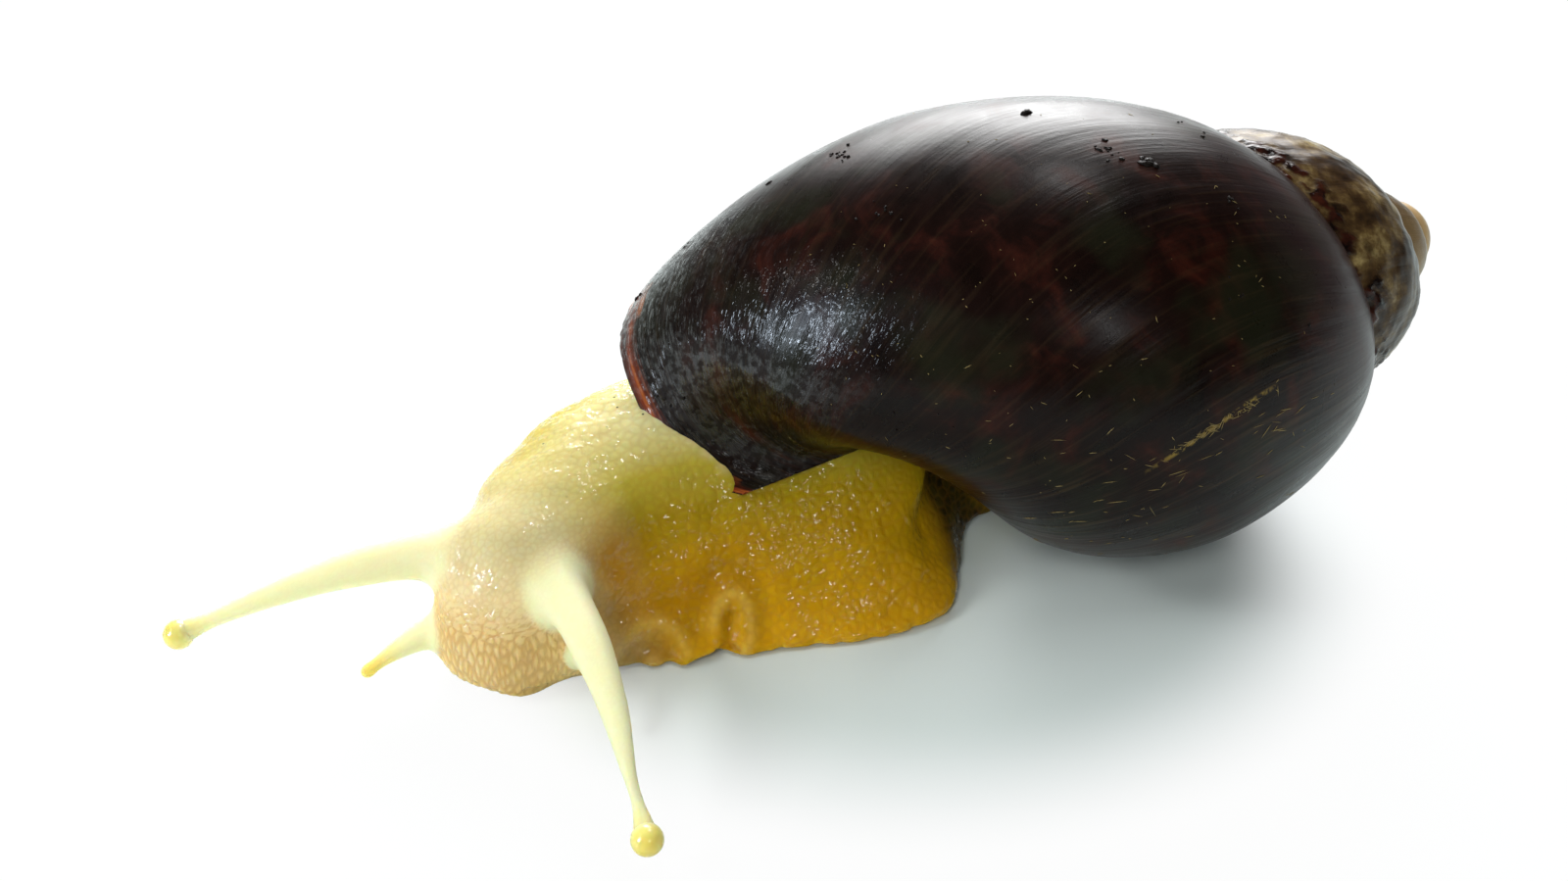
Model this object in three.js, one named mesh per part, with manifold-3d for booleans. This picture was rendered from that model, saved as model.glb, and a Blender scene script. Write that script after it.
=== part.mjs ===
// A giant African land snail as a still, life-size museum model.
// Millimetres, +Z up, floor at z = 0. The animal crawls towards -X, its left side faces -Y,
// and its head is turned to the left. The shell coils to the right, as in nearly all of its kind.
import * as THREE from 'three';
import { mergeVertices } from 'three/addons/utils/BufferGeometryUtils.js';
import Module from 'manifold-3d';

const wasm = await Module();
wasm.setup();

const GAP = 0.3;     // clear space between neighbouring pieces
const END_GAP = 0.45; // and where one piece ends against another
const SLIVER = 0.02;  // edges of the body shorter than this, left by cutting, are closed up

// ---------------------------------------------------------------- shell sizes
// The shell frame has its z axis from apex to base. A turn of 0 is the lip and -1 a whorl earlier.
const SHELL = {
  turns: 3.4,           // whorls below the blunt first shell
  growth: 0.612,        // log of the growth in one whorl
  lateGrowth: 0.035,    // extra growth of the last whorl
  radial: 26.5,         // half width of the whorl's section, at the lip
  axial: 41.9,          // half length of the section towards the base
  apexSide: 1.2,        // how much longer the section is towards the apex
  innerSide: 1.14,      // how much wider the section is towards the axis
  out: 19.3,            // section centre from the axis
  down: 86.8,           // section centre from the apex
  outPower: 1.044,
  downPower: 1.1,
  roundness: 1.84,      // exponent of the section's outline
  lipSquare: 0.7,       // how much squarer its base corner at the axis gets at the lip
  lipSquareRate: 8,
  lipTurn: -0.15,       // tilt of the section near the lip, radians
  lipTurnRate: 6,
  lean: -0.14,          // how far the lip runs ahead along its length, radians
  leanBend: -0.253,
  swell: 0.2,           // fullness of the last whorl but one
  swellAt: -1.27,
  swellSpan: 0.45,
  lipSwell: 0.02,       // slight swelling just behind the lip
  lipSwellAt: -0.13,
  lipSwellSpan: 0.09,
  wall: 1.2,
  recess: 0.025,        // how far the mantle sits inside the lip, in whorls
  mouthDepth: 0.175,    // how deep the hollow of the mouth is cut, in whorls
  apexRadius: 5.5,
  apexTip: 3.9,
  apexFlat: 0.8,
  apexCut: 9.6,         // where the first shell ends, from the apex
};
// Places where the last whorl is fuller or slimmer than the plain coil: mm, whorls back from the lip and
// their span, angle round the section and its span in radians.
const SWELLINGS = [
  [3.6, -0.25, 0.11, 1.9, 0.5],
  [-1.5, -0.45, 0.14, 1.3, 0.6],
];
const SHELL_POSE = { yaw: 11.7, pitch: -8.9, roll: 10.5, apex: [109, 16.6, 37.9] };
const SIDES = 22;            // faces round a whorl's section
const ROWS = 40;             // and along one whorl
const AXIS_CLEAR = 0.2;      // the whorls stay this far from the shell's axis
const FACETS = 0.3;          // flat faces cut the round form short, so the outer sections are this much larger
const COLUMELLA = { radius: 1.3, from: 16, to: 98 };
const PAST_LIP = 0.006;      // cutting shapes reach this far past an end, in whorls

// ---------------------------------------------------------------- body sizes
// One station is a cross-section of the body: where its middle stands, which way it faces (degrees
// from -X towards the left), the half width of the flat sole, of the foot's edge and of the body,
// the height of the waist and the crown, and how far the waist and the crown lie left of the foot.
const BODY = [
  { x: 73, y: 30, turn: 25, sole: 0.9, rim: 1.7, girth: 1.3, waist: 1.0, crown: 2.4, lean: 0, peak: 0 },
  { x: 62, y: 26, turn: 25, sole: 2.6, rim: 3.8, girth: 3.2, waist: 2.6, crown: 5.0, lean: 0, peak: 0 },
  { x: 48, y: 20.5, turn: 22, sole: 5, rim: 6.6, girth: 5.2, waist: 4.2, crown: 8.5, lean: 0, peak: 0 },
  { x: 35, y: 15, turn: 18, sole: 7.2, rim: 9, girth: 7, waist: 6, crown: 13, lean: 0, peak: -1 },
  { x: 27, y: 11, turn: 10, sole: 8.8, rim: 10.6, girth: 8, waist: 9, crown: 24, lean: -1, peak: -4 },
  { x: 21, y: 2, turn: 3, sole: 15.5, rim: 17.6, girth: 10.5, waist: 13, crown: 31, lean: -3, peak: -9 },
  { x: 12, y: 0, turn: 0, sole: 18, rim: 20, girth: 12.5, waist: 13, crown: 31, lean: -2, peak: -10 },
  { x: -2, y: 0, turn: 0, sole: 18, rim: 20, girth: 13.5, waist: 13, crown: 30, lean: -2, peak: -10 },
  { x: -14, y: 0, turn: 5, sole: 18, rim: 20, girth: 14.6, waist: 14, crown: 29, lean: -3, peak: -8 },
  { x: -24, y: -1.5, turn: 18, sole: 18, rim: 19.8, girth: 15, waist: 14.5, crown: 27, lean: -4, peak: -6 },
  { x: -31, y: -6, turn: 34, sole: 15, rim: 16.8, girth: 13.6, waist: 14, crown: 25.2, lean: -3, peak: -4 },
  { x: -36.3, y: -10.6, turn: 46, sole: 11.6, rim: 13.2, girth: 11.6, waist: 13, crown: 23.7, lean: -2.5, peak: -3 },
  { x: -40.3, y: -14.3, turn: 54, sole: 9, rim: 10.4, girth: 10, waist: 11, crown: 22.5, lean: -1.8, peak: -2 },
  { x: -44.6, y: -17.7, turn: 55, sole: 6.8, rim: 8.2, girth: 8.6, waist: 8, crown: 17.5, lean: -0.6, peak: -0.8 },
  { x: -48, y: -20.3, turn: 55, sole: 5, rim: 6.8, girth: 7.4, waist: 6, crown: 12.5, lean: 0, peak: 0 },
];
const FOOT_EDGE = 1.6;       // height of the foot's widest line
const TAIL_CLOSE = 0.5;      // stations over which the tail's tip rounds off
const SNOUT_CLOSE = 1.15;    // and the snout
const CUTS = [4.4, 8.35, 11.45]; // where planes part the body into tail, foot, neck and head, in stations

// ---------------------------------------------------------------- feelers
// Radii at the root, the shaft and the thin neck, which widens again by the flare just before the bulb.
const UPPER = { root: 5.4, shaft: 4.5, neck: 1, flare: 0.7, bulb: 2.1, sides: 10, rings: 12, fade: 6, taper: 1.1 };
const LOWER = { root: 5, shaft: 2.9, neck: 0.8, flare: 0.3, bulb: 1.2, sides: 8, rings: 6, fade: 4, taper: 1.1 };
const FLARE_SPAN = 0.05;     // share of a feeler's length
const RING_CROWD = 1.7;      // its rings stand closer towards the bulb
const FEELERS = [
  { side: 'left', kind: 'upper', from: [-37, -13, 15], bend: [-30.2, -26, 17.5], to: [-28.6, -55.3, 5.6] },
  { side: 'right', kind: 'upper', from: [-44.5, -8.5, 15.5], bend: [-58, -5.5, 17.8], to: [-85.7, -8.9, 9] },
  { side: 'left', kind: 'lower', from: [-33.2, -17.5, 7], bend: [-30.6, -24.5, 7], to: [-30.2, -31, 4] },
  { side: 'right', kind: 'lower', from: [-46.5, -11.5, 7.2], bend: [-54, -12.4, 7.2], to: [-61.4, -16, 4] },
];
const SPLIT = 0.52;          // where an upper feeler is parted into two lengths

// ---------------------------------------------------------------- materials
const material = (color, roughness) => new THREE.MeshStandardMaterial({ color, roughness, metalness: 0 });
const FINISH = {
  shell: material('#2c1713', 0.3),
  spire: material('#4a3328', 0.5),
  apex: material('#a98258', 0.55),
  mantle: material('#c99f52', 0.5),
  skin: material('#e3cb84', 0.5),
  foot: material('#c9a24f', 0.55),
  eye: material('#e8a93c', 0.2),
};

// ---------------------------------------------------------------- tools for solids
function loft(rings) {
  const count = rings[0].length;
  const corners = rings.flat();
  const faces = [];
  for (let k = 0; k + 1 < rings.length; k++) {
    for (let i = 0; i < count; i++) {
      const a = k * count + i;
      const b = k * count + ((i + 1) % count);
      faces.push(a, b, a + count, b, b + count, a + count);
    }
  }
  for (const [start, flip] of [[0, true], [(rings.length - 1) * count, false]]) {
    const middle = new THREE.Vector3();
    for (let i = 0; i < count; i++) middle.add(corners[start + i]);
    corners.push(middle.divideScalar(count));
    for (let i = 0; i < count; i++) {
      const a = start + i;
      const b = start + ((i + 1) % count);
      faces.push(...(flip ? [b, a, corners.length - 1] : [a, b, corners.length - 1]));
    }
  }
  const geometry = new THREE.BufferGeometry().setFromPoints(corners);
  geometry.setIndex(faces);
  return geometry;
}

function solid(geometry) {
  const bare = geometry.clone();
  bare.deleteAttribute('normal');
  bare.deleteAttribute('uv');
  const merged = mergeVertices(bare, 1e-4);
  const vertProperties = new Float32Array(merged.attributes.position.array);
  const triVerts = new Uint32Array(merged.index.array);
  const p = (i) => new THREE.Vector3().fromArray(vertProperties, 3 * i);
  let volume = 0;
  for (let i = 0; i < triVerts.length; i += 3) {
    volume += p(triVerts[i]).dot(p(triVerts[i + 1]).cross(p(triVerts[i + 2])));
  }
  if (volume < 0) {
    for (let i = 0; i < triVerts.length; i += 3) {
      [triVerts[i], triVerts[i + 1]] = [triVerts[i + 1], triVerts[i]];
    }
  }
  return new wasm.Manifold(new wasm.Mesh({ numProp: 3, vertProperties, triVerts }));
}

const union = (pieces) => pieces.reduce((whole, piece) => whole.add(piece));

function largest(body) {
  return body.decompose().reduce((best, piece) => (piece.volume() > best.volume() ? piece : best));
}

const model = new THREE.Group();

function show(name, body, finish) {
  const { vertProperties, triVerts } = body.getMesh();
  const geometry = new THREE.BufferGeometry();
  geometry.setAttribute('position', new THREE.BufferAttribute(new Float32Array(vertProperties), 3));
  geometry.setIndex(Array.from(triVerts));
  geometry.computeVertexNormals();
  const mesh = new THREE.Mesh(geometry, finish);
  mesh.name = name;
  model.add(mesh);
}

// ---------------------------------------------------------------- shell
const shellMatrix = new THREE.Matrix4()
  .makeRotationFromEuler(new THREE.Euler(
    ...[SHELL_POSE.roll, SHELL_POSE.pitch, SHELL_POSE.yaw].map(THREE.MathUtils.degToRad), 'ZYX'))
  .multiply(new THREE.Matrix4().makeBasis(
    new THREE.Vector3(0, 1, 0), new THREE.Vector3(0, 0, -1), new THREE.Vector3(-1, 0, 0)))
  .setPosition(...SHELL_POSE.apex);

const bell = (x, middle, span) => Math.exp(-(((x - middle) / span) ** 2));

function whorlRing(turn, grown, sides, clear = AXIS_CLEAR) {
  const s = SHELL;
  const size = Math.exp(s.growth * turn + s.lateGrowth * (Math.exp(2 * turn) - 1));
  const age = Math.log(size) / s.growth;
  const full = 1 + s.swell * bell(age, s.swellAt, s.swellSpan)
    + s.lipSwell * bell(age, s.lipSwellAt, s.lipSwellSpan);
  const long = size ** s.downPower;
  const tilt = s.lipTurn * Math.exp(s.lipTurnRate * age);
  const ring = [];
  for (let i = 0; i < sides; i++) {
    const angle = (i / sides) * 2 * Math.PI;
    const inCorner = Math.sin(angle) > 0 && Math.cos(angle) < 0;
    const corner = inCorner ? s.lipSquare * Math.exp(s.lipSquareRate * age) : 0;
    const square = (x) => Math.sign(x) * Math.abs(x) ** (2 / (s.roundness + corner));
    const across = square(Math.cos(angle));
    const along = square(Math.sin(angle));
    let added = grown;
    for (const [height, at, span, side, width] of SWELLINGS) {
      added += height * bell(age, at, span) * bell(angle, side, width);
    }
    const wide = s.radial * size * full * (across < 0 ? s.innerSide : 1) + added;
    const tall = s.axial * long * (along < 0 ? s.apexSide : 1) + added;
    const u = wide * across;
    const v = tall * along;
    const r = s.out * size ** s.outPower * full + u * Math.cos(tilt) - v * Math.sin(tilt);
    const drop = u * Math.sin(tilt) + v * Math.cos(tilt);
    const z = s.down * long + drop;
    const share = drop / (s.axial * long);
    const azimuth = 2 * Math.PI * turn + s.lean * share + s.leanBend * share * share;
    const reach = Math.max(r, clear);
    const local = new THREE.Vector3(reach * Math.cos(azimuth), reach * Math.sin(azimuth), z);
    ring.push(local.applyMatrix4(shellMatrix));
  }
  return ring;
}

// The whorls from one turn to another as one solid, joined from short lengths so that none overlaps itself.
// Its rings always stand at the same turns, so that a wall or a gap between two such solids is even.
function whorls(from, to, { grown = 0, sides = SIDES, rows = ROWS, clear = AXIS_CLEAR } = {}) {
  const turns = [from];
  for (let k = Math.floor(from * rows) + 1; k < to * rows - 0.05; k++) {
    if (k > from * rows + 0.05) turns.push(k / rows);
  }
  turns.push(to);
  const span = Math.round(rows / 4);
  const pieces = [];
  for (let k = 0; k < turns.length - 1; k += span) {
    pieces.push(solid(loft(turns.slice(k, k + span + 1).map((turn) => whorlRing(turn, grown, sides, clear)))));
  }
  return union(pieces);
}

function columella(grown = 0) {
  const { radius, from, to } = COLUMELLA;
  const shaft = new THREE.CylinderGeometry(radius + grown, radius + grown, to - from + 2 * grown, 10);
  shaft.rotateX(Math.PI / 2).translate(0, 0, (from + to) / 2).applyMatrix4(shellMatrix);
  return solid(shaft);
}

function firstShell() {
  const { apexRadius, apexTip, apexFlat } = SHELL;
  const dome = new THREE.SphereGeometry(apexRadius, 18, 12);
  dome.scale(1, 1, apexFlat).translate(0, 0, apexTip + apexFlat * apexRadius).applyMatrix4(shellMatrix);
  return solid(dome);
}

function slabAcrossAxis(from, to) {
  const slab = new THREE.BoxGeometry(400, 400, to - from);
  slab.translate(0, 0, (from + to) / 2).applyMatrix4(shellMatrix);
  return solid(slab);
}

// A shape with its own copy set a gap away, so that what it cuts stays clear of its end face.
const withGap = (body, x, y, z) => body.add(body.translate([x * END_GAP, y * END_GAP, z * END_GAP]));

const aboveFloor = solid(new THREE.BoxGeometry(400, 400, 200).translate(0, 0, 100));
const MOUTH_CLEAR = COLUMELLA.radius + 0.5;
const { mouthDepth, recess, wall, turns, apexCut } = SHELL;
const mouth = whorls(-mouthDepth, 3 * PAST_LIP, { grown: -wall, clear: MOUTH_CLEAR });
const lastWhorl = whorls(-1, 0, { grown: FACETS }).add(columella()).subtract(mouth).intersect(aboveFloor);
const besideLastWhorl = whorls(-1, PAST_LIP, { grown: FACETS + GAP })
  .add(whorls(-1, -0.8, { grown: FACETS + GAP }).translate([0, 0, END_GAP]))
  .add(columella(GAP));
const upperWhorls = whorls(-turns, -2, { grown: FACETS, sides: 14, rows: 14 })
  .add(whorls(-2, -1, { grown: FACETS, sides: 20, rows: 24 }))
  .add(firstShell())
  .subtract(besideLastWhorl);

show('shell_body_whorl', largest(lastWhorl), FINISH.shell);
show('shell_spire', largest(upperWhorls.subtract(slabAcrossAxis(-20, apexCut + GAP))), FINISH.spire);
show('shell_apex', largest(upperWhorls.intersect(slabAcrossAxis(-20, apexCut))), FINISH.apex);

const inWall = { grown: -wall - GAP, clear: MOUTH_CLEAR + GAP };
const mantle = whorls(-mouthDepth + 1 / ROWS, -recess, inWall);
show('mantle_collar', largest(mantle), FINISH.mantle);

// What the body must leave free: the shell's wall and the mantle, each with its gap.
const shellRoom = withGap(besideLastWhorl, 0, 0, -1)
  .add(whorls(-2, -1, { grown: FACETS + GAP, sides: 16, rows: 24 }))
  .subtract(whorls(-mouthDepth, 3 * PAST_LIP, { grown: -wall - 2 * GAP, clear: MOUTH_CLEAR + 2 * GAP }));
const mantleRoom = withGap(whorls(-mouthDepth, PAST_LIP - recess, { grown: -wall, clear: MOUTH_CLEAR }), 0, 0, -1);

// ---------------------------------------------------------------- body
function catmull(p0, p1, p2, p3, t) {
  const rise = (p2 - p0) / 2;
  const leave = (p3 - p1) / 2;
  return p1 + t * (rise + t * (3 * (p2 - p1) - 2 * rise - leave + t * (2 * (p1 - p2) + rise + leave)));
}

function station(at) {
  const last = BODY.length - 1;
  const k = Math.min(Math.floor(at), last - 1);
  const pick = (i) => BODY[Math.min(Math.max(i, 0), last)];
  const mixed = {};
  for (const key of Object.keys(BODY[0])) {
    mixed[key] = catmull(pick(k - 1)[key], pick(k)[key], pick(k + 1)[key], pick(k + 2)[key], at - k);
  }
  return mixed;
}

// One cross-section: a flat sole, the foot's edge, the flank, the shoulder and the crown, as a smooth loop.
function bodyRing(at, perSpan = 2) {
  const c = station(at);
  const half = [
    [0, 0, 0],
    [c.sole, 0, 0],
    [c.rim, FOOT_EDGE, 0],
    [0.68 * c.rim + 0.32 * c.girth, Math.max(0.32 * c.waist, FOOT_EDGE * 1.6), 0.3 * c.lean],
    [c.girth, c.waist, c.lean],
    [0.76 * c.girth, c.waist + 0.7 * (c.crown - c.waist), c.peak],
    [0, c.crown, c.peak],
  ];
  const left = half.map(([out, up, lean]) => [lean + out, up]);
  const right = half.slice(1, -1).reverse().map(([out, up, lean]) => [lean - out, up]);
  const knots = [...left, ...right];
  const count = knots.length;
  const ends = Math.min(at / TAIL_CLOSE, (BODY.length - 1 - at) / SNOUT_CLOSE, 1);
  const shrink = Math.max(Math.sqrt(1 - (1 - ends) ** 2), 0.04);
  const middle = at < BODY.length / 2 ? 0 : c.waist * 0.8;
  const turn = THREE.MathUtils.degToRad(c.turn);
  const ring = [];
  for (let k = 0; k < count; k++) {
    for (let i = 0; i < perSpan; i++) {
      const [out, up] = [0, 1].map((axis) => catmull(knots[(k + count - 1) % count][axis], knots[k][axis],
        knots[(k + 1) % count][axis], knots[(k + 2) % count][axis], i / perSpan));
      const side = out * shrink;
      const height = middle + (Math.max(up, 0) - middle) * shrink;
      ring.push(new THREE.Vector3(c.x + side * Math.sin(turn), c.y - side * Math.cos(turn), height));
    }
  }
  return ring;
}

function wholeBody() {
  const rings = [];
  const last = BODY.length - 1;
  for (let i = 0; i <= 4; i++) rings.push(bodyRing(TAIL_CLOSE * (1 - Math.cos((i / 4) * Math.PI / 2))));
  const rows = 34;
  for (let i = 1; i <= rows; i++) {
    rings.push(bodyRing(TAIL_CLOSE + ((last - SNOUT_CLOSE - TAIL_CLOSE) * i) / rows));
  }
  for (let i = 1; i <= 6; i++) {
    rings.push(bodyRing(last - SNOUT_CLOSE * Math.cos((i / 6) * Math.PI / 2 * 0.98)));
  }
  return solid(loft(rings));
}

function cutPlane(at) {
  const c = station(at);
  const slab = new THREE.BoxGeometry(GAP, 160, 160);
  slab.rotateZ(THREE.MathUtils.degToRad(c.turn)).translate(c.x, c.y, 0);
  return solid(slab);
}

// ---------------------------------------------------------------- feelers
function feelerCurve(feeler) {
  return new THREE.QuadraticBezierCurve3(
    ...[feeler.from, feeler.bend, feeler.to].map((p) => new THREE.Vector3(...p)));
}

function feelerRadius(sizes, t) {
  return sizes.neck + (sizes.shaft - sizes.neck) * (1 - t) ** sizes.taper
    + (sizes.root - sizes.shaft) * Math.exp(-t * sizes.fade) + sizes.flare * bell(t, 1, FLARE_SPAN);
}

function feelerTube(feeler) {
  const sizes = feeler.kind === 'upper' ? UPPER : LOWER;
  const curve = feelerCurve(feeler);
  const rings = [];
  for (let k = 0; k <= sizes.rings; k++) {
    const t = 1 - (1 - k / sizes.rings) ** RING_CROWD;
    const middle = curve.getPoint(t);
    const ahead = curve.getTangent(t);
    const side = new THREE.Vector3(0, 0, 1).cross(ahead).normalize();
    const over = ahead.clone().cross(side);
    const r = feelerRadius(sizes, t);
    const ring = [];
    for (let i = 0; i < sizes.sides; i++) {
      const angle = (i / sizes.sides) * 2 * Math.PI;
      ring.push(middle.clone().addScaledVector(side, r * Math.cos(angle))
        .addScaledVector(over, r * Math.sin(angle)));
    }
    rings.push(ring);
  }
  return solid(loft(rings));
}

function ball(middle, radius, sides) {
  return solid(new THREE.SphereGeometry(radius, sides, Math.round(sides * 0.7)).translate(...middle));
}

let body = wholeBody();
for (const feeler of FEELERS) {
  const outward = new THREE.Vector3(...feeler.to).sub(new THREE.Vector3(...feeler.from)).normalize();
  const besideBody = withGap(body, ...outward.toArray());
  const upper = feeler.kind === 'upper';
  const sizes = upper ? UPPER : LOWER;
  const name = `${feeler.kind}_tentacle_${feeler.side}`;
  const tube = feelerTube(feeler);
  if (upper) {
    const end = ball(feeler.to, sizes.bulb, 12);
    const shaft = tube.subtract(ball(feeler.to, sizes.bulb + GAP, 12)).subtract(besideBody);
    const curve = feelerCurve(feeler);
    const parting = new THREE.BoxGeometry(30, 30, GAP);
    parting.lookAt(curve.getTangent(SPLIT));
    parting.translate(...curve.getPoint(SPLIT).toArray());
    const lengths = shaft.subtract(solid(parting)).decompose().sort((a, b) => b.volume() - a.volume());
    show(`${name}_base`, lengths[0], FINISH.skin);
    show(`${name}_end`, lengths[1], FINISH.skin);
    show(`eye_${feeler.side}`, end, FINISH.eye);
  } else {
    show(name, largest(tube.add(ball(feeler.to, sizes.bulb, 8)).subtract(besideBody)), FINISH.skin);
  }
}

body = body.subtract(shellRoom).subtract(mantleRoom);
for (const cut of CUTS) body = body.subtract(cutPlane(cut));
const lengths = body.decompose().filter((piece) => piece.volume() > 100)
  .sort((a, b) => b.boundingBox().max[0] - a.boundingBox().max[0]);
['tail', 'foot', 'neck', 'head'].forEach((name, i) => {
  const finish = name === 'foot' || name === 'tail' ? FINISH.foot : FINISH.skin;
  if (lengths[i]) show(name, lengths[i].simplify(SLIVER), finish);
});

// The origin is on the floor, under the middle of the whole animal.
const middle = new THREE.Box3().setFromObject(model).getCenter(new THREE.Vector3());
model.position.set(-middle.x, -middle.y, 0);

export default model;
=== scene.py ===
"""A giant African land snail, life size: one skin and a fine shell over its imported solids."""
import math

import bpy
import numpy as np
from mathutils import Matrix, Vector, kdtree


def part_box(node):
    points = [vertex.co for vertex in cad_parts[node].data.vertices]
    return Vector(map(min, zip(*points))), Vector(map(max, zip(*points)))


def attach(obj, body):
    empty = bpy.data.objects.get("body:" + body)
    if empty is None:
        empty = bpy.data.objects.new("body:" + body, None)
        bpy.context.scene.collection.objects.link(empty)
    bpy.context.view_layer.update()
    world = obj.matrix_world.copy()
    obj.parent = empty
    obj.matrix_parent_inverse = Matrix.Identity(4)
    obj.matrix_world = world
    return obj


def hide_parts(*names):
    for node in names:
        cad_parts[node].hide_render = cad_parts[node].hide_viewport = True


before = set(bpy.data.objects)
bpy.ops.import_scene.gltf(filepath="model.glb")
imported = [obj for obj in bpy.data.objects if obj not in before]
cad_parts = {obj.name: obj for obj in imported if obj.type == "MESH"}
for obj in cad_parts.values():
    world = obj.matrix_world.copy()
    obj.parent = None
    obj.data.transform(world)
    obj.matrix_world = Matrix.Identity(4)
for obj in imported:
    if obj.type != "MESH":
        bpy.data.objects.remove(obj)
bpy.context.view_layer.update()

MM = 0.001

# ---------------------------------------------------------------- sizes, in millimetres
# The shell is one tube coiled round an axis. These are its number of whorls and how fast it grows, the half
# widths of its section, its distance out from the axis and down it, the section's roundness, the lip's
# turn and lean, and the spire's dome.
SHELL = dict(
    turns=3.4, growth=0.612, late=0.035, radial=26.5, axial=41.9, apex_side=1.2, inner_side=1.14,
    out=19.3, down=86.8, out_power=1.044, down_power=1.1, round=1.84, square=0.7, square_rate=8.0,
    lip_turn=-0.15, lip_rate=6.0, lean=-0.14, lean_bend=-0.253,
    swell=0.2, swell_at=-1.27, swell_span=0.45, lip_swell=0.02, lip_at=-0.13, lip_span=0.09,
    wall=1.2, apex_radius=5.5, apex_tip=3.9, apex_flat=0.8)
# Places where the last whorl is fuller or slimmer than the plain coil: mm, whorls back from the lip and
# their span, angle round the section and its span in radians.
SWELLINGS = ((3.6, -0.25, 0.11, 1.9, 0.5), (-1.5, -0.45, 0.14, 1.3, 0.6))
SHELL_POSE = dict(yaw=11.7, pitch=-8.9, roll=10.5, apex=(109.0, 16.6, 37.9))
SHELL_ROWS, SHELL_COLUMNS = ((680, 380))
# The seam between two whorls is felt up to these distances, on the last whorl and on the others.
FAR_SEAM, NEAR_SEAM = 16.0, 6.0

# Sections of the body from tail to snout: x, y, heading, half widths of sole, edge and body,
# heights of waist and crown, and how far these two lean to the animal's left.
STATIONS = np.array([
    (73, 30, 25, 0.9, 1.7, 1.3, 1.0, 2.4, 0, 0),
    (62, 26, 25, 2.6, 3.8, 3.2, 2.6, 5.0, 0, 0),
    (48, 20.5, 22, 5, 6.6, 5.2, 4.2, 8.5, 0, 0),
    (35, 15, 18, 7.2, 9, 7, 6, 13, 0, -1),
    (27, 11, 10, 8.8, 10.6, 8, 9, 24, -1, -4),
    (21, 2, 3, 15.5, 17.6, 10.5, 13, 31, -3, -9),
    (12, 0, 0, 18, 20, 12.5, 13, 31, -2, -10),
    (-2, 0, 0, 18, 20, 13.5, 13, 30, -2, -10),
    (-14, 0, 5, 18, 20, 14.6, 14, 29, -3, -8),
    (-24, -1.5, 18, 18, 19.8, 15, 14.5, 27, -4, -6),
    (-31, -6, 34, 15, 16.8, 13.6, 14, 25.2, -3, -4),
    (-36.3, -10.6, 46, 11.6, 13.2, 11.6, 13, 23.7, -2.5, -3),
    (-40.3, -14.3, 54, 9, 10.4, 10, 11, 22.5, -1.8, -2),
    (-44.6, -17.7, 55, 6.8, 8.2, 8.6, 8, 17.5, -0.6, -0.8),
    (-48, -20.3, 55, 5, 6.8, 7.4, 6, 12.5, 0, 0)])
# The sole's edge is this high, and the body closes over these shares of a section at tail and snout.
FOOT_EDGE, TAIL_CLOSE, SNOUT_CLOSE = 1.6, 0.5, 1.15
SKIN_CELL = 0.3

# Feelers: radii of root, shaft and neck, the flare by the bulb, how fast the root fades, the taper, the bulb.
UPPER = dict(root=5.4, shaft=4.5, neck=1.0, flare=0.7, fade=6.0, taper=1.1, bulb=2.1)
LOWER = dict(root=5.0, shaft=2.9, neck=0.8, flare=0.3, fade=4.0, taper=1.1, bulb=1.2)
FLARE_SPAN = 0.05
# Each feeler bends once: its root, the corner that it bends towards, and the middle of its bulb.
FEELERS = dict(
    upper_left=(UPPER, (-37, -13, 15), (-30.2, -26, 17.5), (-28.6, -55.3, 5.6)),
    upper_right=(UPPER, (-44.5, -8.5, 15.5), (-58, -5.5, 17.8), (-85.7, -8.9, 9)),
    lower_left=(LOWER, (-33.2, -17.5, 7), (-30.6, -24.5, 7), (-30.2, -31, 4)),
    lower_right=(LOWER, (-46.5, -11.5, 7.2), (-54, -12.4, 7.2), (-61.4, -16, 4)))

# The solids' frame is the sizes' frame moved sideways: the left eye shows by how much.
eye_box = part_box("eye_left")
SHIFT = (np.array(eye_box[0]) + np.array(eye_box[1])) / 2 / MM - np.array(FEELERS["upper_left"][3])
SHIFT[2] = 0.0


# ---------------------------------------------------------------- small tools
def bell(x, middle, span):
    """1 at the middle, fading to nothing over the span"""
    return np.exp(-((x - middle) / span) ** 2)


def step(x, a, b):
    """0 up to a and 1 from b on, with a smooth slope between"""
    t = np.clip((x - a) / (b - a), 0, 1)
    return t * t * (3 - 2 * t)


def unit(v):
    return v / np.maximum(np.linalg.norm(v, axis=-1, keepdims=True), 1e-9)


def to_mesh(name, points, faces):
    """points in millimetres in the sizes' frame, faces as an (n, 4) or (n, 3) array"""
    mesh = bpy.data.meshes.new(name)
    points = (np.asarray(points) + SHIFT) * MM
    faces = np.asarray(faces)
    mesh.vertices.add(len(points))
    mesh.vertices.foreach_set("co", points.ravel())
    mesh.loops.add(faces.size)
    mesh.loops.foreach_set("vertex_index", faces.ravel())
    mesh.polygons.add(len(faces))
    mesh.polygons.foreach_set("loop_start", np.arange(0, faces.size, faces.shape[1]))
    mesh.update(calc_edges=True)
    mesh.validate()
    mesh.shade_smooth()
    return mesh


def add_object(name, mesh):
    obj = bpy.data.objects.new(name, mesh)
    bpy.context.scene.collection.objects.link(obj)
    return obj


def points_of(mesh):
    p = np.empty(len(mesh.vertices) * 3)
    mesh.vertices.foreach_get("co", p)
    return p.reshape(-1, 3) / MM - SHIFT


def normals_of(mesh):
    n = np.empty(len(mesh.vertices) * 3)
    mesh.vertex_normals.foreach_get("vector", n)
    return n.reshape(-1, 3)


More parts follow.
